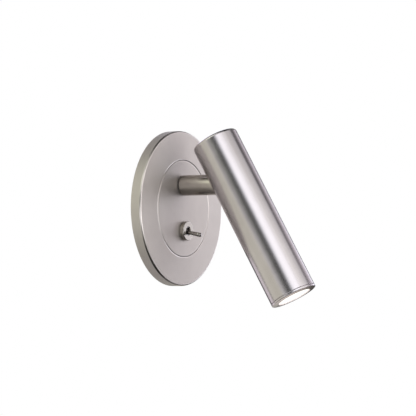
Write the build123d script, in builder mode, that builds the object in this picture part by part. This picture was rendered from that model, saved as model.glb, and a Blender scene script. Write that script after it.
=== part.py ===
from build123d import *
import os
from math import sin, cos, tan, atan2, radians

# Bedside wall reading lamp: a round wall plate with a shallow box behind it, a short arm that
# swivels about its own axis, and a tubular spot head that tilts on the end of the arm.
# Millimetres. Origin: centre of the plate's back, on the wall. Wall plane y = 0,
# the room is towards -Y, +Z is up, +X is to the right seen from the room.

# ---------------------------------------------------------------- driving dimensions
# wall plate
PLATE_R = 55.0            # trim ring, outside
RIM_H = 8.05              # front of the trim ring at its rim, before the rounding
FRONT_H = 9.1             # front of the fascia disc
RIM_ROUND = 1.3           # rounding of the rim's front edge
GROOVE_IN = 34.25         # fascia disc radius
GROOVE_OUT = 34.45        # bore of the trim ring
ROLL_W, ROLL_H = 1.1, 0.3 # both edges of the groove roll down by ROLL_H over ROLL_W
SKIRT_T = 1.5             # sheet thickness of the trim ring
# wall bracket and rear box
BRACKET_R = 52.5
BRACKET_HOLE = 27.0
BRACKET_T = 1.5
WALL_SLOT_X = 44.0        # wall screw slots at +-44 mm
WALL_SLOT_L = 10.0
WALL_SLOT_R = 2.3
CAN_R = 26.0
CAN_T = 1.2
CAN_DEPTH = 16.0          # how far the box goes into the wall
FLANGE_R = 40.8           # fascia flange under the trim ring
SCREW_PCR = 37.5          # fascia screws
CABLE_X, CABLE_Z = 11.0, -14.0
CABLE_R = 3.1
# arm
ARM_Z = 16.3
ARM_R = 7.25
ARM_BORE = 5.75
ARM_GAP = 0.8             # arm stands off the plate
STEM_R = 3.98
STEM_BORE = 2.6
# tilt joint and head
PIVOT_Y = -53.4
TILT = 28.2               # head axis from vertical, lower end outwards
TUBE_R = 16.6
TUBE_BORE = 15.1
TOP = 36.2                # pivot to closed top
BOT = 89.0                # pivot to lower end
ROOF_T = 2.2
BEZEL_BAND = 1.30
SEAM = 0.42
LIP = 0.55                # the bezel's face rises by this much towards the lens
DRUM_R = 13.0
DRUM_HALF = 7.0
PIN_R = 2.5
CHEEK_X = 8.4
SLOT_HALF = 7.55
TILT_MAX = 50.0           # steepest angle of the head from vertical
SLOT_TOP = 31.5
# toggle switch
TOG_Z = -16.0
COLLAR_R = 6.85
COLLAR_H = 3.2
LEVER_PIVOT_H = 7.3
LEVER_TILT = 11.3         # lever points down by this much at rest
LEVER_LEN = 15.9          # pivot to tip

# ---------------------------------------------------------------- planes and axes
WALL = Plane.XZ                                   # normal towards the room, local y = +Z
ARM_AXIS = Axis((0, 0, ARM_Z), (0, -1, 0))
PLATE_AXIS = Axis((0, 0, 0), (0, -1, 0))
# half planes through an axis along the room direction: local x = radius, local y = height off the wall
PLATE_PROFILE = Plane(origin=(0, 0, 0), x_dir=(1, 0, 0), z_dir=(0, 0, -1))
s_, c_ = sin(radians(TILT)), cos(radians(TILT))
P = (0, PIVOT_Y, ARM_Z)
HEAD = Plane(origin=P, x_dir=(1, 0, 0), z_dir=(0, s_, c_))          # normal up the tube
HEAD_PROFILE = Plane(origin=P, x_dir=(1, 0, 0), z_dir=(0, -c_, s_))  # x = radius, y = up the tube
HEAD_AXIS = Axis(P, (0, s_, c_))
HEAD_REAR = Plane(origin=P, x_dir=(-1, 0, 0), z_dir=(0, c_, -s_))   # normal out of the tube's rear
PIN = Plane(origin=P, x_dir=(0, 1, 0), z_dir=(1, 0, 0))             # normal along the tilt axis
LP = (0, -LEVER_PIVOT_H, TOG_Z)
ls_, lc_ = sin(radians(LEVER_TILT)), cos(radians(LEVER_TILT))
LEVER_PROFILE = Plane(origin=LP, x_dir=(1, 0, 0), z_dir=(0, ls_, -lc_))
LEVER_AXIS = Axis(LP, (0, -lc_, -ls_))
LOW = (Align.CENTER, Align.CENTER, Align.MIN)

os.makedirs("parts", exist_ok=True)


def keep(builder, name):
    builder.part.label = name
    export_step(builder.part, "parts/" + name + ".step")


# ================================================================ WALL PLATE
# trim ring: turned cover, slightly domed, its skirt reaches the wall; lifts off its magnets
slope = atan2(FRONT_H - RIM_H, PLATE_R - GROOVE_OUT - ROLL_W)
cut = RIM_ROUND / tan(radians(45) + slope / 2)
front_edge = (PLATE_R - cut * cos(slope), RIM_H + cut * sin(slope))
with BuildPart() as trim_ring:
    with BuildSketch(PLATE_PROFILE):
        with BuildLine():
            Line((PLATE_R, 0), (PLATE_R, RIM_H - cut))
            TangentArc((PLATE_R, RIM_H - cut), front_edge, tangent=(0, 1))
            Line(front_edge, (GROOVE_OUT + ROLL_W, FRONT_H))
            TangentArc((GROOVE_OUT + ROLL_W, FRONT_H), (GROOVE_OUT, FRONT_H - ROLL_H), tangent=(-1, 0))
            Polyline(
                (GROOVE_OUT, FRONT_H - ROLL_H), (GROOVE_OUT, FRONT_H - SKIRT_T),
                (PLATE_R - 4.0, FRONT_H - SKIRT_T - 0.35), (PLATE_R - SKIRT_T, RIM_H - 1.85),
                (PLATE_R - SKIRT_T, 0), (PLATE_R, 0))
        make_face()
    revolve(axis=PLATE_AXIS)
keep(trim_ring, "trim_ring")

# fascia disc: the fixed centre of the plate, with a flange for its screws and a boss for the arm
with BuildPart() as fascia_disc:
    with BuildSketch(PLATE_PROFILE):
        with BuildLine():
            Line((0, FRONT_H), (GROOVE_IN - ROLL_W, FRONT_H))
            TangentArc((GROOVE_IN - ROLL_W, FRONT_H), (GROOVE_IN, FRONT_H - ROLL_H), tangent=(1, 0))
            Polyline(
                (GROOVE_IN, FRONT_H - ROLL_H), (GROOVE_IN, 5.6), (FLANGE_R, 5.6), (FLANGE_R, 3.6),
                (31.0, 3.6), (31.0, 7.1), (0, 7.1), (0, FRONT_H))
        make_face()
    revolve(axis=PLATE_AXIS)
    with BuildSketch(WALL.offset(1.6)):            # boss behind the arm
        with Locations((0, ARM_Z)):
            Circle(8.2)
    extrude(amount=5.6)
    with BuildSketch(WALL.offset(4.6)):            # earth boss
        with Locations((-22, 0)):
            Circle(3.2)
    extrude(amount=2.6)
    with BuildSketch(WALL.offset(1.5)):            # swivel bore
        with Locations((0, ARM_Z)):
            Circle(5.0)
    extrude(amount=8.0, mode=Mode.SUBTRACT)
    with BuildSketch(WALL.offset(7.0)):            # switch hole
        with Locations((0, TOG_Z)):
            Circle(3.1)
    extrude(amount=2.2, mode=Mode.SUBTRACT)
    with BuildSketch(WALL.offset(4.5)):            # blind earth thread
        with Locations((-22, 0)):
            Circle(2.0)
    extrude(amount=3.5, mode=Mode.SUBTRACT)
    with BuildSketch(WALL.offset(1.5)):            # stop pin hole
        with Locations((-7.0, ARM_Z)):
            Circle(0.8)
    extrude(amount=4.1, mode=Mode.SUBTRACT)
    with Locations(WALL.offset(3.5)):              # countersunk flange holes
        with PolarLocations(SCREW_PCR, 3, start_angle=90):
            Cylinder(radius=1.6, height=3, align=LOW, mode=Mode.SUBTRACT)
    with Locations(WALL.offset(4.2)):
        with PolarLocations(SCREW_PCR, 3, start_angle=90):
            Cone(bottom_radius=1.55, top_radius=2.97, height=1.42, align=LOW, mode=Mode.SUBTRACT)
keep(fascia_disc, "fascia_disc")

# wall bracket: pressed steel annulus with two keyed slots for the wall screws
with BuildPart() as wall_bracket:
    with BuildSketch(WALL):
        Circle(BRACKET_R)
        Circle(BRACKET_HOLE, mode=Mode.SUBTRACT)
        with Locations((-WALL_SLOT_X, 0), (WALL_SLOT_X, 0)):
            SlotOverall(WALL_SLOT_L, 2 * WALL_SLOT_R, mode=Mode.SUBTRACT)
        with PolarLocations(SCREW_PCR, 3, start_angle=90):
            Circle(1.6, mode=Mode.SUBTRACT)
        with PolarLocations(29.8, 3, start_angle=30):
            Circle(1.6, mode=Mode.SUBTRACT)
    extrude(amount=BRACKET_T)
keep(wall_bracket, "wall_bracket")

# pressed-in nuts that the fascia screws bite into
with BuildPart() as bracket_nuts:
    with BuildSketch(WALL.offset(BRACKET_T)):
        with PolarLocations(SCREW_PCR, 3, start_angle=90):
            RegularPolygon(3.4, 6)
            Circle(1.5, mode=Mode.SUBTRACT)
    extrude(amount=2.1)
keep(bracket_nuts, "bracket_nuts")

with BuildPart() as fascia_screws:
    with Locations(WALL.offset(0.4)):
        with PolarLocations(SCREW_PCR, 3, start_angle=90):
            Cylinder(radius=1.47, height=4.6, align=LOW)
    with Locations(WALL.offset(4.2)):
        with PolarLocations(SCREW_PCR, 3, start_angle=90):
            Cone(bottom_radius=1.47, top_radius=2.87, height=1.4, align=LOW)
    with Locations(WALL.offset(4.9)):              # hexagon recess
        with PolarLocations(SCREW_PCR, 3, start_angle=90):
            Cylinder(radius=1.0, height=1, align=LOW, mode=Mode.SUBTRACT)
keep(fascia_screws, "fascia_screws")

# magnets on small holders, which grip the trim ring from behind
with BuildPart() as magnet_holders:
    with BuildSketch(WALL.offset(BRACKET_T)):
        with PolarLocations(46.5, 3, start_angle=30):
            Circle(4.8)
    extrude(amount=4.6)
    with BuildSketch(WALL.offset(4.1)):
        with PolarLocations(46.5, 3, start_angle=30):
            Circle(4.0)
    extrude(amount=2.0, mode=Mode.SUBTRACT)
keep(magnet_holders, "magnet_holders")

with BuildPart() as magnets:
    with BuildSketch(WALL.offset(4.1)):
        with PolarLocations(46.5, 3, start_angle=30):
            Circle(3.97)
    extrude(amount=3.1)
keep(magnets, "magnets")

# rear box: drawn steel can with a flange, its floor pierced for the cable
with BuildPart() as rear_box:
    with BuildSketch(PLATE_PROFILE):
        with BuildLine():
            Polyline(
                (33.0, 2.5), (33.0, BRACKET_T), (CAN_R + 0.9, BRACKET_T), (CAN_R, 0),
                (CAN_R, -CAN_DEPTH + 1.5),
                (CAN_R - 0.44, -CAN_DEPTH + 0.44), (CAN_R - 1.5, -CAN_DEPTH), (0, -CAN_DEPTH),
                (0, -CAN_DEPTH + CAN_T), (CAN_R - 1.6, -CAN_DEPTH + CAN_T),
                (CAN_R - 1.0, -CAN_DEPTH + 1.9), (CAN_R - 1.0, 2.5), close=True)
        make_face()
    revolve(axis=PLATE_AXIS)
    with BuildSketch(WALL.offset(-CAN_DEPTH - 1)):
        with Locations((CABLE_X, CABLE_Z)):
            Circle(4.6)
    extrude(amount=3, mode=Mode.SUBTRACT)
    with BuildSketch(WALL.offset(1.4)):
        with PolarLocations(29.8, 3, start_angle=30):
            Circle(1.6)
    extrude(amount=1.2, mode=Mode.SUBTRACT)
keep(rear_box, "rear_box")

with BuildPart() as box_rivets:
    with Locations(WALL.offset(0.1)):
        with PolarLocations(29.8, 3, start_angle=30):
            Cylinder(radius=1.57, height=3.0, align=LOW)
    with Locations(WALL.offset(2.5)):
        with PolarLocations(29.8, 3, start_angle=30):
            Cone(bottom_radius=2.7, top_radius=1.6, height=0.9, align=LOW)
keep(box_rivets, "box_rivets")

# rubber grommet for the mains cable
with BuildPart() as cable_grommet:
    for h0, h1, r in ((-17.4, -16.0, 6.2), (-16.0, -14.8, 4.57), (-14.8, -13.4, 6.2)):
        with BuildSketch(WALL.offset(h0)):
            with Locations((CABLE_X, CABLE_Z)):
                Circle(r)
        extrude(amount=h1 - h0)
    with BuildSketch(WALL.offset(-18)):
        with Locations((CABLE_X, CABLE_Z)):
            Circle(CABLE_R)
    extrude(amount=6, mode=Mode.SUBTRACT)
keep(cable_grommet, "cable_grommet")

# ---------------------------------------------------------------- electrical pieces in the box
BOARD_F, BOARD_B = -8.8, -10.2
with BuildPart() as driver_board:
    with BuildSketch(WALL.offset(BOARD_B)):
        Circle(23.5)
        with Locations((0, -33.6)):
            Rectangle(60, 50, mode=Mode.SUBTRACT)
        with Locations((-20, -4), (-12.5, 16.5), (12.5, 16.5)):
            Circle(1.1, mode=Mode.SUBTRACT)
    extrude(amount=BOARD_F - BOARD_B)
keep(driver_board, "driver_board")

# transformer, reservoir capacitor, bridge and controller chip, each standing on the board
with BuildPart() as driver_parts:
    with BuildSketch(WALL.offset(BOARD_F)):
        with Locations((-8.5, -1.5)):
            Rectangle(10.5, 10.5)
    extrude(amount=7.6)
    with BuildSketch(WALL.offset(BOARD_F)):
        with Locations((5.0, -3.0)):
            Circle(3.2)
    extrude(amount=8.0)
    with BuildSketch(WALL.offset(BOARD_F)):
        with Locations((5.0, 4.2)):
            Rectangle(5.0, 4.0)
        with Locations((-16.5, 6.5)):
            Rectangle(4.0, 5.0)
    extrude(amount=1.7)
keep(driver_parts, "driver_parts")

with BuildPart() as board_standoffs:
    with BuildSketch(WALL.offset(-CAN_DEPTH + CAN_T)):
        with Locations((-20, -4), (-12.5, 16.5), (12.5, 16.5)):
            Circle(2.2)
            Circle(1.0, mode=Mode.SUBTRACT)
    extrude(amount=BOARD_B - (-CAN_DEPTH + CAN_T))
keep(board_standoffs, "board_standoffs")

with BuildPart() as board_screws:
    with BuildSketch(WALL.offset(-13.6)):
        with Locations((-20, -4), (-12.5, 16.5), (12.5, 16.5)):
            Circle(0.97)
    extrude(amount=5.0)
    with BuildSketch(WALL.offset(BOARD_F)):
        with Locations((-20, -4), (-12.5, 16.5), (12.5, 16.5)):
            Circle(1.9)
    extrude(amount=1.2)
keep(board_screws, "board_screws")

# three-pole screw terminal for the mains cable, soldered on the board
with BuildPart() as terminal_block:
    with BuildSketch(WALL.offset(BOARD_F)):
        with Locations((15, 0)):
            Rectangle(10, 18)
    extrude(amount=8.3)
    with BuildSketch(WALL.offset(-4.0)):
        with Locations(*[(x, z) for x in (12.4, 17.6) for z in (-6, 0, 6)]):
            Circle(1.5)
    extrude(amount=4, mode=Mode.SUBTRACT)
    with BuildSketch(Plane(origin=(9, 6.2, 0), x_dir=(0, 1, 0), z_dir=(1, 0, 0))):
        with Locations((0, -6), (0, 0), (0, 6)):
            Circle(1.5)
    extrude(amount=12, mode=Mode.SUBTRACT)
keep(terminal_block, "terminal_block")

with BuildPart() as terminal_screws:
    with BuildSketch(WALL.offset(-4.0)):
        with Locations(*[(x, z) for x in (12.4, 17.6) for z in (-6, 0, 6)]):
            Circle(1.46)
    extrude(amount=2.4)
    with BuildSketch(WALL.offset(-2.2)):
        with Locations(*[(x, z) for x in (12.4, 17.6) for z in (-6, 0, 6)]):
            Rectangle(2.2, 0.5)
    extrude(amount=1, mode=Mode.SUBTRACT)
keep(terminal_screws, "terminal_screws")

with BuildPart() as earth_screw:
    with BuildSketch(WALL.offset(1.6)):
        with Locations((-22, 0)):
            Circle(2.9)
    extrude(amount=2.2)
    with BuildSketch(WALL.offset(3.8)):
        with Locations((-22, 0)):
            Circle(1.96)
    extrude(amount=4.0)
    with BuildSketch(WALL.offset(1.5)):
        with Locations((-22, 0)):
            Rectangle(4.4, 0.8)
            Rectangle(0.8, 4.4)
    extrude(amount=1.0, mode=Mode.SUBTRACT)
keep(earth_screw, "earth_screw")

with BuildPart() as earth_tag:
    with BuildSketch(WALL.offset(3.8)):
        with Locations((-22, 0)):
            Circle(3.1)
        with Locations((-17.6, 0)):
            Rectangle(6.0, 2.2)
        with Locations((-22, 0)):
            Circle(2.0, mode=Mode.SUBTRACT)
    extrude(amount=0.8)
keep(earth_tag, "earth_tag")

# ---------------------------------------------------------------- toggle switch
with BuildPart() as switch_collar:
    with BuildSketch(Plane(origin=(0, 0, TOG_Z), x_dir=(1, 0, 0), z_dir=(0, 0, -1))):
        with BuildLine():
            Polyline((3.05, FRONT_H), (COLLAR_R, FRONT_H), (COLLAR_R, FRONT_H + 2.85),
                     (COLLAR_R - 0.11, FRONT_H + 3.09), (COLLAR_R - 0.35, FRONT_H + COLLAR_H),
                     (3.35, FRONT_H + COLLAR_H), (3.05, FRONT_H + 2.9), close=True)
        make_face()
    revolve(axis=Axis((0, 0, TOG_Z), (0, -1, 0)))
keep(switch_collar, "switch_collar")

with BuildPart() as switch_bushing:
    with BuildSketch(Plane(origin=(0, 0, TOG_Z), x_dir=(1, 0, 0), z_dir=(0, 0, -1))):
        with BuildLine():
            Polyline((2.5, 3.9), (3.0, 3.9), (3.0, 11.7), (2.8, 11.9), (2.72, 11.9), (2.5, 10.2), close=True)
        make_face()
    revolve(axis=Axis((0, 0, TOG_Z), (0, -1, 0)))
keep(switch_bushing, "switch_bushing")

with BuildPart() as switch_nut:
    with BuildSketch(WALL.offset(4.6)):
        with Locations((0, TOG_Z)):
            RegularPolygon(4.6, 6)
            Circle(3.03, mode=Mode.SUBTRACT)
    extrude(amount=1.9)
keep(switch_nut, "switch_nut")

with BuildPart() as switch_washer:
    with BuildSketch(WALL.offset(6.5)):
        with Locations((0, TOG_Z)):
            Circle(5.2)
            Circle(3.05, mode=Mode.SUBTRACT)
    extrude(amount=0.6)
keep(switch_washer, "switch_washer")

with BuildPart() as switch_body:
    with BuildSketch(WALL.offset(-5.6)):
        with Locations((0, TOG_Z)):
            Rectangle(8.0, 13.0)
    extrude(amount=9.5)
    with BuildSketch(WALL.offset(1.6)):
        with Locations((0, TOG_Z)):
            Rectangle(3.2, 5.0)
    extrude(amount=2.4, mode=Mode.SUBTRACT)
keep(switch_body, "switch_body")

with BuildPart() as switch_terminals:
    with BuildSketch(WALL.offset(-8.8)):
        with Locations((0, TOG_Z - 4.6), (0, TOG_Z), (0, TOG_Z + 4.6)):
            Rectangle(2.0, 0.8)
    extrude(amount=3.2)
keep(switch_terminals, "switch_terminals")

with BuildPart() as switch_lever:
    with BuildSketch(LEVER_PROFILE):
        with BuildLine():
            Polyline((0, -4.0), (0.85, -4.0), (0.85, -1.2), (1.2, 0), (1.15, 2.0), (1.2, 5.0), (1.48, 13.4),
                     (1.52, 14.4), (1.40, 15.1), (1.05, 15.6), (0.55, 15.85), (0, LEVER_LEN), close=True)
        make_face()
    revolve(axis=LEVER_AXIS)
    with Locations(Location(LP)):
        Sphere(2.25)
keep(switch_lever, "switch_lever")

# ================================================================ SWIVEL
with BuildPart() as swivel_bush:
    with BuildSketch(WALL.offset(1.6)):
        with Locations((0, ARM_Z)):
            Circle(4.98)
            Circle(STEM_R + 0.04, mode=Mode.SUBTRACT)
    extrude(amount=7.5)
keep(swivel_bush, "swivel_bush")

# dark washer in the gap between the arm and the plate
with BuildPart() as base_washer:
    with BuildSketch(WALL.offset(FRONT_H)):
        with Locations((0, ARM_Z)):
            Circle(6.0)
            Circle(STEM_R + 0.08, mode=Mode.SUBTRACT)
    extrude(amount=ARM_GAP - 0.02)
keep(base_washer, "base_washer")

with BuildPart() as thrust_washer:
    with BuildSketch(WALL.offset(0.85)):
        with Locations((0, ARM_Z)):
            Circle(5.7)
            Circle(STEM_R + 0.08, mode=Mode.SUBTRACT)
    extrude(amount=0.75)
keep(thrust_washer, "thrust_washer")

with BuildPart() as stop_pin:
    with BuildSketch(WALL.offset(-0.3)):
        with Locations((-7.0, ARM_Z)):
            Circle(0.79)
    extrude(amount=5.8)
keep(stop_pin, "stop_pin")

# keyed washer whose tab meets the stop pin at both ends of the swivel
with BuildPart() as stop_washer:
    with BuildSketch(WALL.offset(-0.15)):
        with Locations((0, ARM_Z)):
            Circle(5.7)
        with Locations((6.2, ARM_Z)):
            Rectangle(3.2, 2.4)
        with Locations((0, ARM_Z)):
            Circle(STEM_R + 0.02, mode=Mode.SUBTRACT)
    extrude(amount=0.95)
keep(stop_washer, "stop_washer")

with BuildPart() as wave_washer:
    with BuildSketch(Plane(origin=(0, 0, ARM_Z), x_dir=(1, 0, 0), z_dir=(0, 0, -1))):
        with BuildLine():
            Polyline((4.3, -0.15), (4.3, -0.45), (6.2, -1.0), (6.2, -0.7), close=True)
        make_face()
    revolve(axis=ARM_AXIS)
keep(wave_washer, "wave_washer")

with BuildPart() as swivel_nuts:
    for h0 in (-4.4, -7.6):
        with BuildSketch(WALL.offset(h0)):
            with Locations((0, ARM_Z)):
                RegularPolygon(7.4, 6, rotation=0 if h0 > -5 else 18)
                Circle(STEM_R + 0.02, mode=Mode.SUBTRACT)
        extrude(amount=3.15 if h0 < -5 else 3.3)
keep(swivel_nuts, "swivel_nuts")

with BuildPart() as swivel_stem:
    with BuildSketch(WALL.offset(-8.2)):
        with Locations((0, ARM_Z)):
            Circle(STEM_R)
            Circle(STEM_BORE, mode=Mode.SUBTRACT)
    extrude(amount=27.6)
keep(swivel_stem, "swivel_stem")

# ================================================================ ARM
ARM_START = FRONT_H + ARM_GAP
SHANK = 15.5                                      # arm tube ends this far from the tilt axis
ARM_END = -PIVOT_Y - SHANK
with BuildPart() as arm_tube:
    with BuildSketch(Plane(origin=(0, 0, ARM_Z), x_dir=(1, 0, 0), z_dir=(0, 0, -1))):
        with BuildLine():
            Polyline((ARM_BORE, ARM_START), (ARM_R - 0.4, ARM_START), (ARM_R, ARM_START + 0.4),
                     (ARM_R, ARM_END), (ARM_BORE, ARM_END), close=True)
        make_face()
    revolve(axis=ARM_AXIS)
keep(arm_tube, "arm_tube")

with BuildPart() as arm_plug:
    with BuildSketch(WALL.offset(ARM_START)):
        with Locations((0, ARM_Z)):
            Circle(ARM_BORE - 0.03)
            Circle(STEM_R + 0.02, mode=Mode.SUBTRACT)
    extrude(amount=8.5)
keep(arm_plug, "arm_plug")

# knuckle: a drum across the tilt axis that closes the head's slot from inside, with a shank for the arm
with BuildPart() as knuckle:
    with BuildSketch(PIN.offset(-DRUM_HALF)):
        Circle(DRUM_R)
    extrude(amount=2 * DRUM_HALF)
    fillet(knuckle.edges().filter_by(GeomType.CIRCLE), 0.6)
    with BuildSketch(WALL.offset(ARM_END)):
        with Locations((0, ARM_Z)):
            Circle(ARM_R)
    extrude(amount=6.1)
    with BuildSketch(WALL.offset(ARM_END - 8)):
        with Locations((0, ARM_Z)):
            Circle(ARM_BORE - 0.03)
    extrude(amount=9)
    with BuildSketch(WALL.offset(ARM_END - 9)):    # wire bore
        with Locations((0, ARM_Z)):
            Circle(4.0)
    extrude(amount=17.5, mode=Mode.SUBTRACT)
    with BuildSketch(PIN.offset(-3.5)):            # wire way round the pin and out below
        with Locations((0, -5)):
            Rectangle(16, 18)
    extrude(amount=7, mode=Mode.SUBTRACT)
    with BuildSketch(PIN.offset(-DRUM_HALF - 1)):
        Circle(PIN_R)
    extrude(amount=2 * DRUM_HALF + 2, mode=Mode.SUBTRACT)
keep(knuckle, "knuckle")

with BuildPart() as pivot_pin:
    with BuildSketch(PIN.offset(-12.6)):
        Circle(PIN_R - 0.01)
    extrude(amount=25.2)
    chamfer(pivot_pin.edges().filter_by(GeomType.CIRCLE), 0.4)
keep(pivot_pin, "pivot_pin")

# two cone springs that press the drum against the friction washers
with BuildPart() as disc_springs:
    with BuildSketch(Plane(origin=P, x_dir=(1, 0, 0), z_dir=(0, 0, 1))):
        with BuildLine():
            Polyline((DRUM_HALF + 0.45, 2.7), (DRUM_HALF + 0.8, 2.7), (DRUM_HALF + 0.35, 6.4), (DRUM_HALF, 6.4), close=True)
        make_face()
        with BuildLine():
            Polyline((-DRUM_HALF - 0.45, 2.7), (-DRUM_HALF - 0.8, 2.7), (-DRUM_HALF - 0.35, 6.4), (-DRUM_HALF, 6.4), close=True)
        make_face()
    revolve(axis=Axis(P, (1, 0, 0)))
keep(disc_springs, "disc_springs")

# ================================================================ HEAD
with BuildPart() as friction_washers:
    for x0 in (DRUM_HALF + 0.84, -CHEEK_X + 0.02):
        with BuildSketch(PIN.offset(x0)):
            Circle(6.8)
            Circle(2.75, mode=Mode.SUBTRACT)
        extrude(amount=0.54)
keep(friction_washers, "friction_washers")

with BuildPart() as pivot_bushes:
    for x0 in (8.6, -12.6):
        with BuildSketch(PIN.offset(x0)):
            Circle(4.0)
            Circle(PIN_R + 0.05, mode=Mode.SUBTRACT)
        extrude(amount=4.0)
keep(pivot_bushes, "pivot_bushes")

# head tube: turned shell with a closed, rounded top and a slot at the rear for the arm
with BuildPart() as head_tube:
    with BuildSketch(HEAD_PROFILE):
        with BuildLine():
            Polyline((0, TOP), (TUBE_R, TOP), (TUBE_R, -BOT + BEZEL_BAND + SEAM + 0.12),
                     (TUBE_R - 0.12, -BOT + BEZEL_BAND + SEAM), (TUBE_BORE, -BOT + BEZEL_BAND + SEAM),
                     (TUBE_BORE, TOP - ROOF_T), (0, TOP - ROOF_T), close=True)
        make_face()
    revolve(axis=HEAD_AXIS)
    fillet(head_tube.edges().filter_by(GeomType.CIRCLE).sort_by(HEAD_AXIS)[-1], 2.0)
    with BuildSketch(HEAD_REAR.offset(9)):
        with Locations((0, (SLOT_TOP - SLOT_HALF) / 2)):
            SlotCenterToCenter(SLOT_TOP - SLOT_HALF, 2 * SLOT_HALF, rotation=90)
    extrude(amount=10, mode=Mode.SUBTRACT)
keep(head_tube, "head_tube")

# yoke: two cheeks on a base, with open slots that the pin's bushes drop into
with BuildPart() as yoke:
    with BuildSketch(HEAD.offset(-20)):
        Circle(TUBE_BORE - 0.08)
        Rectangle(40, 23, mode=Mode.INTERSECT)
    extrude(amount=51.4)
    with BuildSketch(HEAD.offset(-15.5)):
        Rectangle(2 * CHEEK_X, 40)
    extrude(amount=50, mode=Mode.SUBTRACT)
    with BuildSketch(HEAD.offset(0)):
        Rectangle(40, 8.04)
    extrude(amount=35, mode=Mode.SUBTRACT)
    with BuildSketch(PIN.offset(-20)):
        Circle(4.02)
    extrude(amount=40, mode=Mode.SUBTRACT)
    with BuildSketch(HEAD.offset(-21)):
        Circle(5.0)
    extrude(amount=8, mode=Mode.SUBTRACT)
keep(yoke, "yoke")

# keeper: a cap whose two legs close the yoke's slots over the bushes
with BuildPart() as yoke_keeper:
    with BuildSketch(HEAD.offset(31.5)):
        Circle(TUBE_BORE - 0.08)
    extrude(amount=2.4)
    with BuildSketch(HEAD.offset(2.0)):
        with Locations((11.4, 0), (-11.4, 0)):
            Rectangle(5.2, 7.9)
    extrude(amount=29.6)
    with BuildSketch(PIN.offset(-20)):
        Circle(4.02)
    extrude(amount=40, mode=Mode.SUBTRACT)
keep(yoke_keeper, "yoke_keeper")

# spacer sleeve between the yoke and the heat sink
HS_TOP, HS_BOT = -51.9, -76.6
with BuildPart() as spacer_sleeve:
    with BuildSketch(HEAD.offset(HS_TOP)):
        Circle(TUBE_BORE - 0.08)
        Circle(13.6, mode=Mode.SUBTRACT)
    extrude(amount=-20 - HS_TOP)
keep(spacer_sleeve, "spacer_sleeve")

with BuildPart() as heat_sink:
    with BuildSketch(HEAD.offset(HS_BOT)):
        Circle(TUBE_BORE - 0.08)
    extrude(amount=HS_TOP - HS_BOT)
    with BuildSketch(HEAD.offset(HS_BOT + 5)):     # gaps between the fins
        with PolarLocations(11.5, 16, start_angle=0):
            Rectangle(8.0, 1.9)
    extrude(amount=30, mode=Mode.SUBTRACT)
    with BuildSketch(HEAD.offset(HS_BOT - 1)):     # wire slot at the rear
        with Locations((0, 12.5)):
            Rectangle(4.6, 6.6)
    extrude(amount=30, mode=Mode.SUBTRACT)
    with BuildSketch(HEAD.offset(HS_BOT - 1)):     # threads for the light engine's screws
        with Locations((7.4, 0), (-7.4, 0)):
            Circle(1.0)
    extrude(amount=5, mode=Mode.SUBTRACT)
keep(heat_sink, "heat_sink")

with BuildPart() as led_board:
    with BuildSketch(HEAD.offset(HS_BOT - 1.0)):
        Circle(9.6)
        with Locations((7.4, 0), (-7.4, 0)):
            Circle(1.15, mode=Mode.SUBTRACT)
    extrude(amount=1.0)
keep(led_board, "led_board")

with BuildPart() as led_chip:
    with BuildSketch(HEAD.offset(HS_BOT - 1.7)):
        Circle(4.2)
    extrude(amount=0.7)
keep(led_chip, "led_chip")

with BuildPart() as led_holder:
    with BuildSketch(HEAD.offset(HS_BOT - 2.9)):
        Circle(12.6)
        Circle(5.0, mode=Mode.SUBTRACT)
        with Locations((7.4, 0), (-7.4, 0)):
            Circle(1.15, mode=Mode.SUBTRACT)
        with Locations((0, 12.0)):
            Rectangle(4.6, 6.0, mode=Mode.SUBTRACT)
    extrude(amount=1.9)
keep(led_holder, "led_holder")

with BuildPart() as engine_screws:
    with BuildSketch(HEAD.offset(HS_BOT - 2.95)):
        with Locations((7.4, 0), (-7.4, 0)):
            Circle(0.97)
    extrude(amount=6.4)
    with BuildSketch(HEAD.offset(HS_BOT - 3.65)):
        with Locations((7.4, 0), (-7.4, 0)):
            Circle(1.9)
    extrude(amount=0.75)
    with BuildSketch(HEAD.offset(HS_BOT - 3.8)):
        with Locations((7.4, 0), (-7.4, 0)):
            Rectangle(2.6, 0.5)
            Rectangle(0.5, 2.6)
    extrude(amount=0.5, mode=Mode.SUBTRACT)
keep(engine_screws, "engine_screws")

# reflector cone, seated on the LED holder, clear of its screws
with BuildPart() as reflector:
    with BuildSketch(HEAD_PROFILE):
        with BuildLine():
            Polyline((4.4, HS_BOT - 2.92), (5.2, HS_BOT - 2.92), (5.3, -80.3), (9.6, -81.6), (13.4, -85.9),
                     (13.4, -86.75), (12.3, -86.75), (8.9, -82.5), (4.4, -80.9), close=True)
        make_face()
    revolve(axis=HEAD_AXIS)
keep(reflector, "reflector")

with BuildPart() as lens:
    with BuildSketch(HEAD_PROFILE):
        with BuildLine():
            Polyline((0, -86.8), (13.45, -86.8), (13.45, -88.02), (11.8, -88.02), (11.8, -88.55),
                     (11.6, -88.7), (0, -88.75), close=True)
        make_face()
    revolve(axis=HEAD_AXIS)
keep(lens, "lens")

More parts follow.
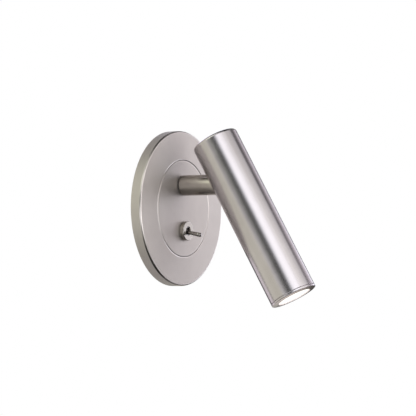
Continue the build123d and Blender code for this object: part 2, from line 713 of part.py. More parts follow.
# bezel ring: screws into the tube's end, holds the lens, leaves a fine seam against the tube
with BuildPart() as bezel_ring:
    with BuildSketch(HEAD_PROFILE):
        with BuildLine():
            Polyline((11.95, -BOT - LIP + 0.15), (12.1, -BOT - LIP), (12.6, -BOT - LIP),
                     (TUBE_R - 0.45, -BOT), (TUBE_R - 0.12, -BOT + 0.15),
                     (TUBE_R, -BOT + 0.45),
                     (TUBE_R, -BOT + BEZEL_BAND - 0.1), (TUBE_R - 0.1, -BOT + BEZEL_BAND),
                     (TUBE_R - 0.45, -BOT + BEZEL_BAND),
                     (TUBE_R - 0.45, -BOT + BEZEL_BAND + SEAM - 0.02), (TUBE_BORE - 0.08, -BOT + BEZEL_BAND + SEAM - 0.02),
                     (TUBE_BORE - 0.08, HS_BOT - 0.02), (13.6, HS_BOT - 0.02), (13.6, -88.06), (11.95, -88.06), close=True)
        make_face()
    revolve(axis=HEAD_AXIS)
keep(bezel_ring, "bezel_ring")

# ================================================================ INTERNAL LEADS
# arm leads: from the box through the stem and the arm, down behind the pin in the drum
with BuildPart() as arm_leads:
    for x in (-0.95, 0.95):
        with BuildLine() as path:
            FilletPolyline((x, 8.6, ARM_Z), (x, PIVOT_Y + 11.5, ARM_Z), (x, PIVOT_Y + 4.6, ARM_Z - 5.2),
                           (x, PIVOT_Y + 4.6, ARM_Z - 10.6), radius=[4.5, 4.5])
        with BuildSketch(Plane(origin=path.line @ 0, z_dir=path.line % 0)):
            Circle(0.75)
        sweep(path=path.line)
keep(arm_leads, "arm_leads")

# head leads: from below the drum, through the spacer, down the heat sink's slot to the LED board
def head_pt(x, y, z):
    return HEAD.from_local_coords(Vector(x, y, z))

with BuildPart() as head_leads:
    for x in (-0.95, 0.95):
        with BuildLine() as path2:
            FilletPolyline(head_pt(x, 0, -14.6), head_pt(x, 0, -26), head_pt(x, 11.3, -44),
                           head_pt(x, 11.3, -78.4), radius=[9, 9])
        with BuildSketch(Plane(origin=path2.line @ 0, z_dir=path2.line % 0)):
            Circle(0.75)
        sweep(path=path2.line)
keep(head_leads, "head_leads")

# switch leads: from the switch to the terminal block and the driver
with BuildPart() as switch_leads:
    for pts, rad in ((((0, 9.7, TOG_Z + 4.6), (0, 12.2, TOG_Z + 4.6), (24.6 - 17.0, 12.2, -5.0), (24.6 - 17.0, 10.25, -5.0)), [1.2, 0.9]),
                     (((0, 9.7, TOG_Z), (0, 12.6, TOG_Z), (-8.0, 12.6, -5.0), (-8.0, 10.25, -5.0)), [1.4, 1.0])):
        with BuildLine() as path3:
            FilletPolyline(*pts, radius=rad)
        with BuildSketch(Plane(origin=path3.line @ 0, z_dir=path3.line % 0)):
            Circle(0.7)
        sweep(path=path3.line)
keep(switch_leads, "switch_leads")
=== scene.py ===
import math

import bpy
from mathutils import Matrix, Vector


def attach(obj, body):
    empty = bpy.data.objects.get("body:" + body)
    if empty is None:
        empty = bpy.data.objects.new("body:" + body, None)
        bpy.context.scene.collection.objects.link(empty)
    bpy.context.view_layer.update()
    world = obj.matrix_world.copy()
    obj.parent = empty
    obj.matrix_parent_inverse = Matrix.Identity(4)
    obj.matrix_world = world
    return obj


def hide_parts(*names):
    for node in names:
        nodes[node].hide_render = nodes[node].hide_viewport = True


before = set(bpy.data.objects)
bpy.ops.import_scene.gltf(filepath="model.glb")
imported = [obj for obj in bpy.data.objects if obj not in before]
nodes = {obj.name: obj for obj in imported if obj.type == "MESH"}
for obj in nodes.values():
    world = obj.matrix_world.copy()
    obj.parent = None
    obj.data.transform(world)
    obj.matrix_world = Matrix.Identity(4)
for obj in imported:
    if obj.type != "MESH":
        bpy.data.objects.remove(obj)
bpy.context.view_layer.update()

# Bedside wall reading lamp. Lengths below are millimetres and become metres in the mesh helpers.
# Row frame: wall plane y = 0, the room is towards -Y, +Z is up, +X is to the right seen from the room.
MM = 0.001
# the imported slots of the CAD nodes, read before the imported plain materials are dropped
packed_slot = {n: o.data.materials[0].name for n, o in nodes.items()}
for o in nodes.values():
    for k in range(len(o.data.materials)):
        o.data.materials[k] = None
for m in list(bpy.data.materials):
    bpy.data.materials.remove(m)

# ---------------------------------------------------------------- sizes, as in the CAD
PLATE_R, RIM_H, FRONT_H, SKIRT_T, RIM_ROUND = 55.0, 8.05, 9.1, 1.5, 1.3
GROOVE_IN, GROOVE_OUT, ROLL_W, ROLL_H = 34.25, 34.45, 0.75, 0.2    # the ring's roll is a little finer here than the disc's
FLANGE_R = 40.8
ARM_Z, ARM_R, ARM_BORE, ARM_GAP = 16.3, 7.25, 5.75, 0.8
PIVOT_Y, TILT = -53.4, 28.2
ARM_START, ARM_END = FRONT_H + ARM_GAP, -PIVOT_Y - 15.5
TUBE_R, TUBE_BORE, TOP, BOT, ROOF_T = 16.6, 15.1, 36.2, 89.0, 2.2
BEZEL_BAND, SEAM, LIP = 1.30, 0.42, 0.55
SLOT_HALF, SLOT_TOP = 7.55, 31.5
HS_BOT = -76.6
TOG_Z, COLLAR_R, COLLAR_H = -16.0, 6.85, 3.2
LEVER_PIVOT_H, LEVER_TILT, LEVER_LEN = 7.3, 11.3, 15.9


# ---------------------------------------------------------------- mesh helpers
class Axis:
    """A turning axis: origin, direction (profile height) and the direction of angle zero."""

    def __init__(self, origin, along, zero):
        self.o = Vector(origin)
        self.a = Vector(along).normalized()
        self.x = Vector(zero).normalized()
        self.y = self.a.cross(self.x)

    def at(self, r, h, t):
        return self.o + self.a * h + (self.x * math.cos(t) + self.y * math.sin(t)) * r


st, ct = math.sin(math.radians(TILT)), math.cos(math.radians(TILT))
sl, cl = math.sin(math.radians(LEVER_TILT)), math.cos(math.radians(LEVER_TILT))
PLATE = Axis((0, 0, 0), (0, -1, 0), (1, 0, 0))
ARM = Axis((0, 0, ARM_Z), (0, -1, 0), (1, 0, 0))
TOGGLE = Axis((0, 0, TOG_Z), (0, -1, 0), (1, 0, 0))
HEAD = Axis((0, PIVOT_Y, ARM_Z), (0, st, ct), (1, 0, 0))
LEVER = Axis((0, -LEVER_PIVOT_H, TOG_Z), (0, -cl, -sl), (1, 0, 0))


def soft(points, steps=6, support=0.04):
    """A closed profile of (radius, height, rounding) with each rounding drawn as a tangent arc.
    Straight runs get a point close to each arc, so that flat faces stay flat when shaded smooth."""
    out = []
    n = len(points)
    for i, p in enumerate(points):
        r = p[2] if len(p) > 2 else 0.0
        here = Vector(p[:2])
        if r <= 0:
            out.append(here)
            continue
        before, after = Vector(points[i - 1][:2]), Vector(points[(i + 1) % n][:2])
        u, v = (before - here), (after - here)
        lu, lv = u.length, v.length
        u, v = u / lu, v / lv
        half = math.acos(max(-1.0, min(1.0, u.dot(v)))) / 2
        cut = r / math.tan(half)
        centre = here + (u + v).normalized() * (r / math.sin(half))
        a, b = here + u * cut, here + v * cut
        if lu > cut + support:
            out.append(a + u * support)
        d0, d1 = a - centre, b - centre
        turn = math.atan2(d0.x * d1.y - d0.y * d1.x, d0.dot(d1))
        for k in range(steps + 1):
            w = turn * k / steps
            out.append(centre + Vector((d0.x * math.cos(w) - d0.y * math.sin(w), d0.x * math.sin(w) + d0.y * math.cos(w))))
        if lv > cut + support:
            out.append(b + v * support)
    return [(max(0.0, q[0]), q[1]) for q in out]


def mesh_object(name, verts, faces, sharp=32.0):
    """A mesh object in metres from points in millimetres, outward normals, smooth but for real corners."""
    mesh = bpy.data.meshes.new(name)
    mesh.from_pydata([v * MM for v in verts], [], faces)
    mesh.validate()
    mesh.update()
    import bmesh

    bm = bmesh.new()
    bm.from_mesh(mesh)
    bmesh.ops.recalc_face_normals(bm, faces=bm.faces)
    bm.to_mesh(mesh)
    bm.free()
    mesh.shade_smooth()
    mesh.set_sharp_from_angle(angle=math.radians(sharp))
    obj = bpy.data.objects.new(name, mesh)
    bpy.context.scene.collection.objects.link(obj)
    return obj


def turned(name, profile, axis, segments=192, sharp=32.0):
    """A turned piece: the closed profile swept round the axis."""
    verts, rings, faces = [], [], []
    for r, h in profile:
        if r < 1e-6:
            rings.append([len(verts)])
            verts.append(axis.at(0, h, 0))
        else:
            rings.append(list(range(len(verts), len(verts) + segments)))
            verts += [axis.at(r, h, 2 * math.pi * k / segments) for k in range(segments)]
    for i, ring in enumerate(rings):
        nxt = rings[(i + 1) % len(rings)]
        if len(ring) == 1 and len(nxt) == 1:
            continue
        for k in range(segments):
            m = (k + 1) % segments
            if len(ring) == 1:
                faces.append((ring[0], nxt[m], nxt[k]))
            elif len(nxt) == 1:
                faces.append((ring[k], ring[m], nxt[0]))
            else:
                faces.append((ring[k], ring[m], nxt[m], nxt[k]))
    return mesh_object(name, verts, faces, sharp)


# ---------------------------------------------------------------- materials
def principled(name):
    mat = bpy.data.materials.new(name)
    mat.use_nodes = True
    tree = mat.node_tree
    bsdf = next(n for n in tree.nodes if n.type == "BSDF_PRINCIPLED")
    return mat, tree, bsdf


def object_coords(tree, scale):
    tc = tree.nodes.new("ShaderNodeTexCoord")
    mp = tree.nodes.new("ShaderNodeMapping")
    mp.inputs["Scale"].default_value = scale
    tree.links.new(tc.outputs["Object"], mp.inputs["Vector"])
    return mp.outputs["Vector"]


def noise(tree, vector, scale, detail=3.0, rough=0.5, distortion=0.0):
    n = tree.nodes.new("ShaderNodeTexNoise")
    n.inputs["Scale"].default_value = scale
    n.inputs["Detail"].default_value = detail
    n.inputs["Roughness"].default_value = rough
    n.inputs["Distortion"].default_value = distortion
    tree.links.new(vector, n.inputs["Vector"])
    return n.outputs["Fac"]


def ramp(tree, fac, low, high):
    """Maps 0.3 to 0.7 of a noise onto low to high."""
    m = tree.nodes.new("ShaderNodeMapRange")
    m.inputs["From Min"].default_value = 0.3
    m.inputs["From Max"].default_value = 0.7
    m.inputs["To Min"].default_value = low
    m.inputs["To Max"].default_value = high
    tree.links.new(fac, m.inputs["Value"])
    return m.outputs["Result"]


def two_colours(tree, fac, a, b):
    m = tree.nodes.new("ShaderNodeMix")
    m.data_type = "RGBA"
    m.inputs["A"].default_value = (*a, 1)
    m.inputs["B"].default_value = (*b, 1)
    tree.links.new(fac, m.inputs["Factor"])
    return m.outputs["Result"]


def bump(tree, bsdf, height, strength, distance):
    b = tree.nodes.new("ShaderNodeBump")
    b.inputs["Strength"].default_value = strength
    b.inputs["Distance"].default_value = distance
    tree.links.new(height, b.inputs["Height"])
    tree.links.new(b.outputs["Normal"], bsdf.inputs["Normal"])


def flat_mask(tree):
    """1 on faces that look along Y or across it, 0 on the rounded edges between them."""
    tc = tree.nodes.new("ShaderNodeTexCoord")
    sep = tree.nodes.new("ShaderNodeSeparateXYZ")
    tree.links.new(tc.outputs["Normal"], sep.inputs[0])
    size = tree.nodes.new("ShaderNodeMath")
    size.operation = "ABSOLUTE"
    tree.links.new(sep.outputs["Y"], size.inputs[0])
    parts = []
    for low_at, high_at, a, b in ((0.985, 0.9985, 0.0, 1.0), (0.02, 0.15, 1.0, 0.0)):
        m = tree.nodes.new("ShaderNodeMapRange")
        m.interpolation_type = "SMOOTHSTEP"
        for key, v in (("From Min", low_at), ("From Max", high_at), ("To Min", a), ("To Max", b)):
            m.inputs[key].default_value = v
        tree.links.new(size.outputs[0], m.inputs["Value"])
        parts.append(m.outputs["Result"])
    both = tree.nodes.new("ShaderNodeMath")
    both.operation = "MAXIMUM"
    tree.links.new(parts[0], both.inputs[0])
    tree.links.new(parts[1], both.inputs[1])
    return both.outputs[0]


def metal(name, dark, light, rough, spread, grain=(1, 1, 1), grain_scale=5000.0, patch_scale=70.0, depth=0.12, distance=0.00002, edge=None):
    """Metal with a fine grain in its bump and roughness and slow patches in its colour.
    edge: roughness of the rounded edges, which handling and turning leave smoother than the faces."""
    mat, tree, bsdf = principled(name)
    fine = noise(tree, object_coords(tree, grain), grain_scale, 4.0, 0.6)
    patch = noise(tree, object_coords(tree, (1, 1, 1)), patch_scale, 3.0, 0.55)
    tree.links.new(two_colours(tree, ramp(tree, patch, 0, 1), dark, light), bsdf.inputs["Base Color"])
    mix = tree.nodes.new("ShaderNodeMath")
    mix.operation = "ADD"
    tree.links.new(ramp(tree, fine, rough - spread / 2, rough + spread / 2), mix.inputs[0])
    tree.links.new(ramp(tree, patch, -spread / 4, spread / 4), mix.inputs[1])
    value = mix.outputs[0]
    if edge is not None:
        part = tree.nodes.new("ShaderNodeMix")
        part.inputs["A"].default_value = edge
        tree.links.new(flat_mask(tree), part.inputs["Factor"])
        tree.links.new(value, part.inputs["B"])
        value = part.outputs["Result"]
    tree.links.new(value, bsdf.inputs["Roughness"])
    bsdf.inputs["Metallic"].default_value = 1.0
    bump(tree, bsdf, fine, depth, distance)
    return mat


def plastic(name, dark, light, rough, spread, grain_scale=2500.0, depth=0.15, distance=0.00003):
    """Moulded plastic or rubber with a fine spark texture."""
    mat, tree, bsdf = principled(name)
    fine = noise(tree, object_coords(tree, (1, 1, 1)), grain_scale, 3.0, 0.6)
    patch = noise(tree, object_coords(tree, (1, 1, 1)), 90.0, 2.0, 0.5)
    tree.links.new(two_colours(tree, ramp(tree, patch, 0, 1), dark, light), bsdf.inputs["Base Color"])
    tree.links.new(ramp(tree, fine, rough - spread / 2, rough + spread / 2), bsdf.inputs["Roughness"])
    bump(tree, bsdf, fine, depth, distance)
    return mat


NICKEL_D, NICKEL_L = (0.60, 0.555, 0.52), (0.64, 0.595, 0.56)
mats = {
    "satin_nickel": metal("satin_nickel", (0.6, 0.555, 0.567), (0.64, 0.595, 0.61), 0.25, 0.03, depth=0.05),
    "plate_nickel": metal("plate_nickel", NICKEL_D, NICKEL_L, 0.60, 0.03, depth=0.05, edge=0.28),
    # collar nut: the satin nickel with its colour darkened, painted shade on the collar
    "collar_nickel_painted_shade": metal("collar_nickel_painted_shade", (0.43, 0.40, 0.355), (0.47, 0.44, 0.395), 0.24, 0.04, depth=0.06),
    # bat lever: warm nickel rather than chrome, its colour darkened well below the plate's nickel as painted shade
    "lever_nickel_painted_shade": metal("lever_nickel_painted_shade", (0.36, 0.33, 0.31), (0.40, 0.37, 0.35), 0.14, 0.03, depth=0.04),
    # arm: the plate's satin nickel with its colour darkened, painted shade standing in for the shade along the arm
    "arm_nickel_painted_shade": metal("arm_nickel_painted_shade", (0.52, 0.475, 0.435), (0.56, 0.515, 0.475), 0.26, 0.03, depth=0.05),
    "disc_nickel": metal("disc_nickel", NICKEL_D, NICKEL_L, 0.60, 0.03, depth=0.05, edge=0.45),
    "knuckle_nickel": metal("knuckle_nickel", (0.55, 0.51, 0.47), (0.60, 0.56, 0.52), 0.32, 0.05),
    "bright_chrome": metal("bright_chrome", (0.76, 0.76, 0.76), (0.80, 0.80, 0.80), 0.07, 0.02),
    "zinc_steel": metal("zinc_steel", (0.55, 0.56, 0.57), (0.63, 0.64, 0.63), 0.38, 0.08, patch_scale=900.0),
    "machined_aluminium": metal("machined_aluminium", (0.70, 0.70, 0.71), (0.78, 0.78, 0.79), 0.30, 0.08),
    "magnet_plating": metal("magnet_plating", (0.62, 0.61, 0.58), (0.70, 0.69, 0.66), 0.18, 0.04),
    "brass_contact": metal("brass_contact", (0.70, 0.50, 0.22), (0.80, 0.60, 0.30), 0.28, 0.08),
    "black_nylon": plastic("black_nylon", (0.012, 0.012, 0.013), (0.020, 0.020, 0.021), 0.48, 0.12),
    "black_rubber": plastic("black_rubber", (0.012, 0.012, 0.012), (0.022, 0.021, 0.020), 0.68, 0.14, 1500.0, 0.25),
    "circuit_board": plastic("circuit_board", (0.010, 0.070, 0.030), (0.020, 0.120, 0.050), 0.35, 0.10, 900.0),
    "component_black": plastic("component_black", (0.014, 0.014, 0.015), (0.030, 0.030, 0.032), 0.50, 0.15),
    "terminal_plastic": plastic("terminal_plastic", (0.28, 0.30, 0.29), (0.34, 0.36, 0.35), 0.45, 0.10),
    "lead_insulation": plastic("lead_insulation", (0.60, 0.58, 0.54), (0.72, 0.70, 0.66), 0.38, 0.08),
    "phosphor": plastic("phosphor", (0.75, 0.60, 0.08), (0.85, 0.72, 0.12), 0.60, 0.10),
}


def opal(name):
    """Lit opal disc: bright, a little warmer and dimmer towards its rim."""
    mat, tree, bsdf = principled(name)
    tc = tree.nodes.new("ShaderNodeTexCoord")
    sub = tree.nodes.new("ShaderNodeVectorMath")
    sub.operation = "DISTANCE"
    tree.links.new(tc.outputs["Object"], sub.inputs[0])
    sub.inputs[1].default_value = HEAD.at(0, -88.75, 0) * MM
    m = tree.nodes.new("ShaderNodeMapRange")
    m.interpolation_type = "SMOOTHSTEP"
    m.inputs["From Min"].default_value = 0.004
    m.inputs["From Max"].default_value = 0.0125
    m.inputs["To Min"].default_value = 0.0
    m.inputs["To Max"].default_value = 1.0
    tree.links.new(sub.outputs["Value"], m.inputs["Value"])
    col = two_colours(tree, m.outputs["Result"], (1.0, 0.985, 0.93), (0.86, 0.82, 0.74))
    tree.links.new(col, bsdf.inputs["Emission Color"])
    bsdf.inputs["Emission Strength"].default_value = 0.85
    grain = noise(tree, object_coords(tree, (1, 1, 1)), 1800.0, 2.0)
    tree.links.new(two_colours(tree, ramp(tree, grain, 0, 1), (0.80, 0.79, 0.76), (0.86, 0.85, 0.82)), bsdf.inputs["Base Color"])
    tree.links.new(ramp(tree, grain, 0.26, 0.34), bsdf.inputs["Roughness"])
    return mat


mats["opal_lens"] = opal("opal_lens")

packed_slot["fascia_disc"] = "disc_nickel"
for n, obj in nodes.items():
    finish = mats[packed_slot[n]]
    if obj.data.materials:
        for k in range(len(obj.data.materials)):
            obj.data.materials[k] = finish
    else:
        obj.data.materials.append(finish)


def finish_piece(obj, body, slot, *replaced, look=None):
    obj.data.materials.append(mats[look or slot])
    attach(obj, body)
    if replaced:
        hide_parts(*replaced)
    return obj


# ---------------------------------------------------------------- wall plate
turn = 2 * math.atan(ROLL_H / ROLL_W)                      # the groove's edge rolls down by this angle
roll_r = ROLL_W / math.sin(turn)
roll = [(GROOVE_OUT + ROLL_W - roll_r * math.sin(turn * k / 8), FRONT_H - roll_r * (1 - math.cos(turn * k / 8))) for k in range(9)]
ring = turned("trim_ring_cover", soft(
    [(PLATE_R, 0.0, 0.15), (PLATE_R, RIM_H, RIM_ROUND), (GROOVE_OUT + ROLL_W + 0.3, FRONT_H - 0.016)] + roll
    + [(GROOVE_OUT, FRONT_H - SKIRT_T, 0.25), (PLATE_R - 4.0, FRONT_H - SKIRT_T - 0.35), (PLATE_R - SKIRT_T, RIM_H - 1.85),
       (PLATE_R - SKIRT_T, 0.0, 0.15)],
    steps=8), PLATE, 288, 45.0)
finish_piece(ring, "wall_plate", "satin_nickel", "trim_ring", look="plate_nickel")

# ---------------------------------------------------------------- arm
arm = turned("arm_sleeve", soft([
    (ARM_BORE, ARM_START), (ARM_R, ARM_START, 0.35), (ARM_R, ARM_END), (ARM_BORE, ARM_END)]), ARM, 144)
# the arm wears the darkened nickel: painted shade
finish_piece(arm, "arm", "satin_nickel", "arm_tube", look="arm_nickel_painted_shade")

# ---------------------------------------------------------------- head
def slotted_tube(name):
    """Head tube: closed rounded top, open lower end, and a round-ended slot at the rear with an eased edge."""
    seg, span, rows = 192, 24, 66                         # span: columns from the slot's middle to the patch's side
    z0, z1 = -12.0, 33.95
    low_z, step = -BOT + BEZEL_BAND + SEAM, 2 * math.pi / seg
    zs = [z0 + (z1 - z0) * k / rows for k in range(rows + 1)]
    border = [(-span + k, 0) for k in range(2 * span)] + [(span, k) for k in range(rows)]
    border += [(span - k, rows) for k in range(2 * span)] + [(-span, rows - k) for k in range(rows)]
    n = len(border)
    verts, faces, index = [], [], {}

    def put(r, phi, z, depth=0.0):
        """Point at angle phi from the rear; depth is measured straight in from the rear."""
        p = HEAD.o + HEAD.a * z + HEAD.x * (r * math.sin(phi)) + HEAD.y * (r * math.cos(phi) - depth)
        key = (round(p.x, 4), round(p.y, 4), round(p.z, 4))
        if key not in index:
            index[key] = len(verts)
            verts.append(p)
        return index[key]

    def edge_point(phi, z, r, grow):
        """The slot's outline, grown by that much, on the ray from its middle line to a border point."""
        x = r * math.sin(phi)
        mid = min(max(z * 0.92 + 0.6, 0.0), SLOT_TOP - SLOT_HALF)
        d = Vector((x, z - mid))
        for _ in range(6):                                # the foot moves with the end it belongs to
            q = d.normalized() * (SLOT_HALF + grow)
            px, pz = q.x, mid + q.y
            foot = min(max(pz, 0.0), SLOT_TOP - SLOT_HALF)
            v = Vector((px, pz - foot))
            v = v.normalized() * (SLOT_HALF + grow) if v.length > 1e-9 else q
            return math.asin(max(-1.0, min(1.0, v.x / r))), foot + v.y

    def skin(r, flip, rounding):
        """One surface of the wall round the slot; returns the loop at the slot's edge."""
        rings = []
        outer = [(c * step, zs[j]) for c, j in border]
        base = [edge_point(p, z, r, rounding) for p, z in outer]
        for w in (1.0, 0.8, 0.6, 0.42, 0.27, 0.15, 0.06, 0.0):
            rings.append([put(r, b[0] + (o[0] - b[0]) * w, b[1] + (o[1] - b[1]) * w) for o, b in zip(outer, base)])
        if rounding:
            for k in range(1, 7):
                a = math.radians(90 * k / 6)
                grow, depth = rounding * (1 - math.sin(a)), rounding * (1 - math.cos(a))
                rings.append([put(r, *edge_point(p, z, r, grow), depth) for p, z in outer])
        for a, b in zip(rings, rings[1:]):
            for k in range(n):
                m = (k + 1) % n
                quad = [a[k], a[m], b[m], b[k]]
                quad = [v for i, v in enumerate(quad) if v not in quad[:i]]
                if len(quad) > 2:
                    faces.append(tuple(quad[::-1] if flip else quad))
        for j in range(rows):                             # the rest of the way round beside the slot
            for c in range(span, seg - span):
                q = [put(r, c * step, zs[j]), put(r, (c + 1) * step, zs[j]), put(r, (c + 1) * step, zs[j + 1]), put(r, c * step, zs[j + 1])]
                faces.append(tuple(q[::-1] if flip else q))
        return rings[-1]

    def band(profile):
        """Plain turned bands along a (radius, z) run."""
        for (ra, za), (rb, zb) in zip(profile, profile[1:]):
            for c in range(seg):
                a, b = c * step, (c + 1) * step
                q = []
                for v in (put(ra, a, za), put(ra, b, za), put(rb, b, zb), put(rb, a, zb)):
                    if v not in q:
                        q.append(v)
                if len(q) > 2:
                    faces.append(tuple(q))

    outer_loop = skin(TUBE_R, False, 0.3)
    inner_loop = skin(TUBE_BORE, True, 0.0)
    for k in range(n):                                    # slot wall
        m = (k + 1) % n
        faces.append((outer_loop[k], outer_loop[m], inner_loop[m], inner_loop[k]))
    top = [(TUBE_R, z1), (TUBE_R, TOP - 2.05)]
    top += [(TUBE_R - 2.0 + 2.0 * math.cos(math.radians(a)), TOP - 2.0 + 2.0 * math.sin(math.radians(a))) for a in range(0, 91, 6)]
    top += [(TUBE_R - 2.05, TOP), (TUBE_R - 2.6, TOP), (10.0, TOP), (5.0, TOP), (0.0, TOP)]
    band(top)
    band([(TUBE_BORE, z1), (TUBE_BORE, TOP - ROOF_T), (8.0, TOP - ROOF_T), (0.0, TOP - ROOF_T)])
    low = [(TUBE_R, z0), (TUBE_R, -40.0), (TUBE_R, -65.0), (TUBE_R, low_z + 0.18), (TUBE_R, low_z + 0.12)]
    low += [(TUBE_R - 0.12 + 0.12 * math.cos(math.radians(a)), low_z + 0.12 - 0.12 * math.sin(math.radians(a))) for a in (18, 36, 54, 72, 90)]
    low += [(TUBE_R - 0.2, low_z), (TUBE_BORE, low_z), (TUBE_BORE, -40.0), (TUBE_BORE, z0)]
    band(low)
    return mesh_object(name, verts, faces, 40.0)


tube = slotted_tube("head_shell")
finish_piece(tube, "head", "satin_nickel", "head_tube")

# ---------------------------------------------------------------- bezel and lens
bezel = turned("bezel_cap", soft([
    (11.95, -BOT - LIP + 0.1, 0.0), (12.1, -BOT - LIP, 0.08), (12.6, -BOT - LIP, 0.3), (TUBE_R, -BOT, 0.42),
    (TUBE_R, -BOT + BEZEL_BAND, 0.09),
    (TUBE_R - 1.2, -BOT + BEZEL_BAND), (TUBE_R - 1.2, -BOT + BEZEL_BAND + SEAM - 0.02),
    (TUBE_BORE - 0.08, -BOT + BEZEL_BAND + SEAM - 0.02), (TUBE_BORE - 0.08, HS_BOT - 0.02), (13.6, HS_BOT - 0.02),
    (13.6, -88.06), (11.95, -88.06)], steps=5), HEAD, 192)
finish_piece(bezel, "head", "satin_nickel", "bezel_ring")

disc = turned("lens_disc", soft([
    (0, -86.8), (13.45, -86.8), (13.45, -88.02), (11.8, -88.02), (11.8, -88.66, 0.14), (9.0, -88.73), (5.0, -88.747), (0, -88.75)]), HEAD, 160)
finish_piece(disc, "head", "opal_lens", "lens")

# ---------------------------------------------------------------- toggle switch
collar = turned("collar_nut", soft([
    (3.05, FRONT_H), (COLLAR_R - 0.45, FRONT_H), (COLLAR_R - 0.45, FRONT_H + 0.3), (COLLAR_R, FRONT_H + 0.3, 0.12),
    (COLLAR_R, FRONT_H + COLLAR_H, 0.45), (3.05, FRONT_H + COLLAR_H, 0.3)], steps=6), TOGGLE, 128)
# the collar wears the darkened nickel: painted shade
finish_piece(collar, "wall_plate", "satin_nickel", "switch_collar", look="collar_nickel_painted_shade")


def bat_profile():
    """Bat lever: ball in the bush, waist, then a slow swell to a rounded tip."""
    pts = [(0.0, -4.0), (0.78, -4.0), (0.85, -3.9), (0.85, -2.1)]
    for k in range(13):                                   # ball
        t = math.radians(-68 + k * (68 + 60) / 12)
        pts.append((2.25 * math.cos(t), 2.25 * math.sin(t)))
    pts += [(1.15, 2.12), (1.14, 2.6), (1.15, 3.4), (1.18, 4.6)]
    end, rt = LEVER_LEN, 1.5
    for k in range(1, 9):                                 # swell
        w = k / 8
        pts.append((1.18 + (rt - 1.18) * w, 4.6 + (end - 2.35 - 4.6) * w))
    pts += [(rt - 0.04, end - 2.28), (rt - 0.2, end - 2.12), (rt - 0.24, end - 1.98), (rt - 0.2, end - 1.84),   # turned neck
            (rt - 0.04, end - 1.68), (rt, end - 1.6), (rt, end - 1.25)]
    for k in range(1, 11):                                # tip
        t = math.radians(90 * k / 10)
        pts.append((max(0.0, rt - 0.9 + 0.9 * math.cos(t)) if k < 10 else rt - 0.9, end - 1.25 + 1.17 * math.sin(t)))
    pts += [(0.3, end - 0.02), (0.0, end)]
    return pts


lever = turned("bat_lever", bat_profile(), LEVER, 64, 50.0)
# the lever wears the darkened nickel: painted shade
finish_piece(lever, "lever", "bright_chrome", "switch_lever", look="lever_nickel_painted_shade")

# ---------------------------------------------------------------- camera
AZ, EL, ROLL, DIST = -59.1727, 1.3653, -1.9807, 1400.0
FOCAL_PX, TX, TY = 1966.085, 25.021, 0.5267
az, el, roll = (math.radians(v) for v in (AZ, EL, ROLL))
back = Vector((math.sin(az) * math.cos(el), -math.cos(az) * math.cos(el), math.sin(el)))
right = (-back).cross(Vector((0, 0, 1))).normalized()
up = right.cross(-back)
cam_x = right * math.cos(roll) + up * math.sin(roll)
cam_y = -right * math.sin(roll) + up * math.cos(roll)
place = (cam_x * TX + cam_y * TY + back * DIST) * MM
cam_data = bpy.data.cameras.new("view_camera")
cam_data.sensor_width = 36.0
cam_data.lens = FOCAL_PX * 36.0 / 416.0
cam_data.clip_start, cam_data.clip_end = 0.05, 50.0
camera = bpy.data.objects.new("view_camera", cam_data)
camera.matrix_world = Matrix((
    (cam_x.x, cam_y.x, back.x, place.x), (cam_x.y, cam_y.y, back.y, place.y),
    (cam_x.z, cam_y.z, back.z, place.z), (0, 0, 0, 1)))
bpy.context.scene.collection.objects.link(camera)
bpy.context.scene.camera = camera

# ---------------------------------------------------------------- floor, world and lights
scene = bpy.context.scene
scene.view_settings.view_transform = "Standard"
scene.view_settings.look = "None"

FLOOR_Z = -450.0
half = 1300.0
floor = mesh_object("studio_floor", [Vector((x, y, FLOOR_Z)) for x, y in ((-half, -half), (half, -half), (half, half), (-half, half))], [(0, 1, 2, 3)])
fmat, ftree, fbsdf = principled("studio_floor")
fbsdf.inputs["Base Color"].default_value = (0.86, 0.86, 0.86, 1)
fbsdf.inputs["Roughness"].default_value = 0.9
fbsdf.inputs["Emission Color"].default_value = (1, 1, 1, 1)
fbsdf.inputs["Emission Strength"].default_value = 0.35
floor.data.materials.append(fmat)
floor.visible_glossy = False
floor.visible_shadow = False

world = bpy.data.worlds.new("studio")
scene.world = world
world.use_nodes = True
wt = world.node_tree
wt.nodes.clear()


def wnode(kind, *inputs, operation=None):
    n = wt.nodes.new(kind)
    if operation:
        n.operation = operation
    for k, v in enumerate(inputs):
        if isinstance(v, (int, float)):
            n.inputs[k].default_value = v
        elif v is not None:
            wt.links.new(v, n.inputs[k])
    return n.outputs[0]


def math_node(operation, *inputs):
    return wnode("ShaderNodeMath", *inputs, operation=operation)


wtc = wt.nodes.new("ShaderNodeTexCoord")
wsep = wt.nodes.new("ShaderNodeSeparateXYZ")
wt.links.new(wtc.outputs["Generated"], wsep.inputs[0])
world_az = math_node("ARCTAN2", wsep.outputs["X"], math_node("MULTIPLY", wsep.outputs["Y"], -1.0))
world_el = math_node("ARCSINE", wsep.outputs["Z"])


def soft_step(value, edge, blur):
    """1 below the edge, 0 above it, smooth over 2 * blur."""
    m = wt.nodes.new("ShaderNodeMapRange")
    m.interpolation_type = "SMOOTHSTEP"
    for key, v in (("From Min", edge - blur), ("From Max", edge + blur), ("To Min", 1.0), ("To Max", 0.0)):
        m.inputs[key].default_value = v
    wt.links.new(value, m.inputs["Value"])
    return m.outputs["Result"]


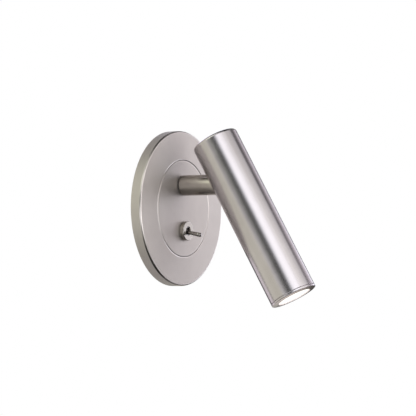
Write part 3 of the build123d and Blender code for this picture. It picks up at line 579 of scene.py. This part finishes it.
def light_panel(az0, half_az, el0, half_el, blur_az, blur_el, level):
    """A soft-edged panel of studio light, in degrees; azimuth 0 is straight out of the wall, +90 is to the right."""
    r = math.radians
    turned_az = math_node("SUBTRACT", world_az, r(az0))
    wrap = wt.nodes.new("ShaderNodeMath")
    wrap.operation = "WRAP"
    wt.links.new(turned_az, wrap.inputs[0])
    wrap.inputs[1].default_value, wrap.inputs[2].default_value = math.pi, -math.pi
    a = soft_step(math_node("ABSOLUTE", wrap.outputs[0]), r(half_az), r(blur_az))
    e = soft_step(math_node("ABSOLUTE", math_node("SUBTRACT", world_el, r(el0))), r(half_el), r(blur_el))
    b = wt.nodes.new("ShaderNodeBackground")
    b.inputs["Color"].default_value = (*level, 1)
    wt.links.new(math_node("MULTIPLY", a, e), b.inputs["Strength"])
    return b.outputs[0]


PANELS = [
    (140, 20, 20, 14, 8, 6, (1.70, 1.70, 2.00)),
    (77, 16, -2, 15, 5, 6, (1.40, 1.50, 1.70)),
    (-36, 67, -7, 10, 5, 6, (1.45, 1.50, 1.55)),
    (-107, 16, 58, 38, 5, 6, (1.20, 1.30, 1.10)),
    (102, 8, -37, 6, 4, 4, (0.90, 0.80, 0.70)),
    (-42, 24, 28, 11, 5, 6, (0.85, 0.90, 0.95)),
    (-8, 51, 32, 12, 5, 6, (0.85, 0.85, 0.85)),
    (44, 49, 5, 21, 5, 6, (0.80, 0.75, 0.80)),
    (-138, 31, 12, 34, 5, 6, (0.70, 0.70, 0.60)),
    (167, 15, 5, 65, 5, 6, (0.65, 0.60, 0.65)),
    (-164, 87, -30, 11, 5, 6, (0.60, 0.60, 0.55)),
    (4, 16, 6, 35, 5, 16, (0.50, 0.50, 0.45)),
    (-62, 61, 58, 25, 5, 6, (0.45, 0.45, 0.45)),
    (180, 60, -55, 15, 8, 8, (0.35, 0.35, 0.35)),
    (-100, 12, 5, 12, 5, 6, (0.20, 0.20, 0.20)),
    (90, 40, -52, 18, 8, 8, (0.20, 0.20, 0.20)),
    (77, 16, 47, 12, 6, 6, (0.35, 0.35, 0.35)),
]
light = None
for spec in PANELS:
    p = light_panel(*spec)
    light = p if light is None else wnode("ShaderNodeAddShader", light, p)
white = wt.nodes.new("ShaderNodeBackground")
white.inputs["Color"].default_value = (1, 1, 1, 1)
seen = wt.nodes.new("ShaderNodeLightPath")
pick = wt.nodes.new("ShaderNodeMixShader")
wt.links.new(seen.outputs["Is Camera Ray"], pick.inputs[0])
wt.links.new(light, pick.inputs[1])
wt.links.new(white.outputs[0], pick.inputs[2])
out = wt.nodes.new("ShaderNodeOutputWorld")
wt.links.new(pick.outputs[0], out.inputs["Surface"])
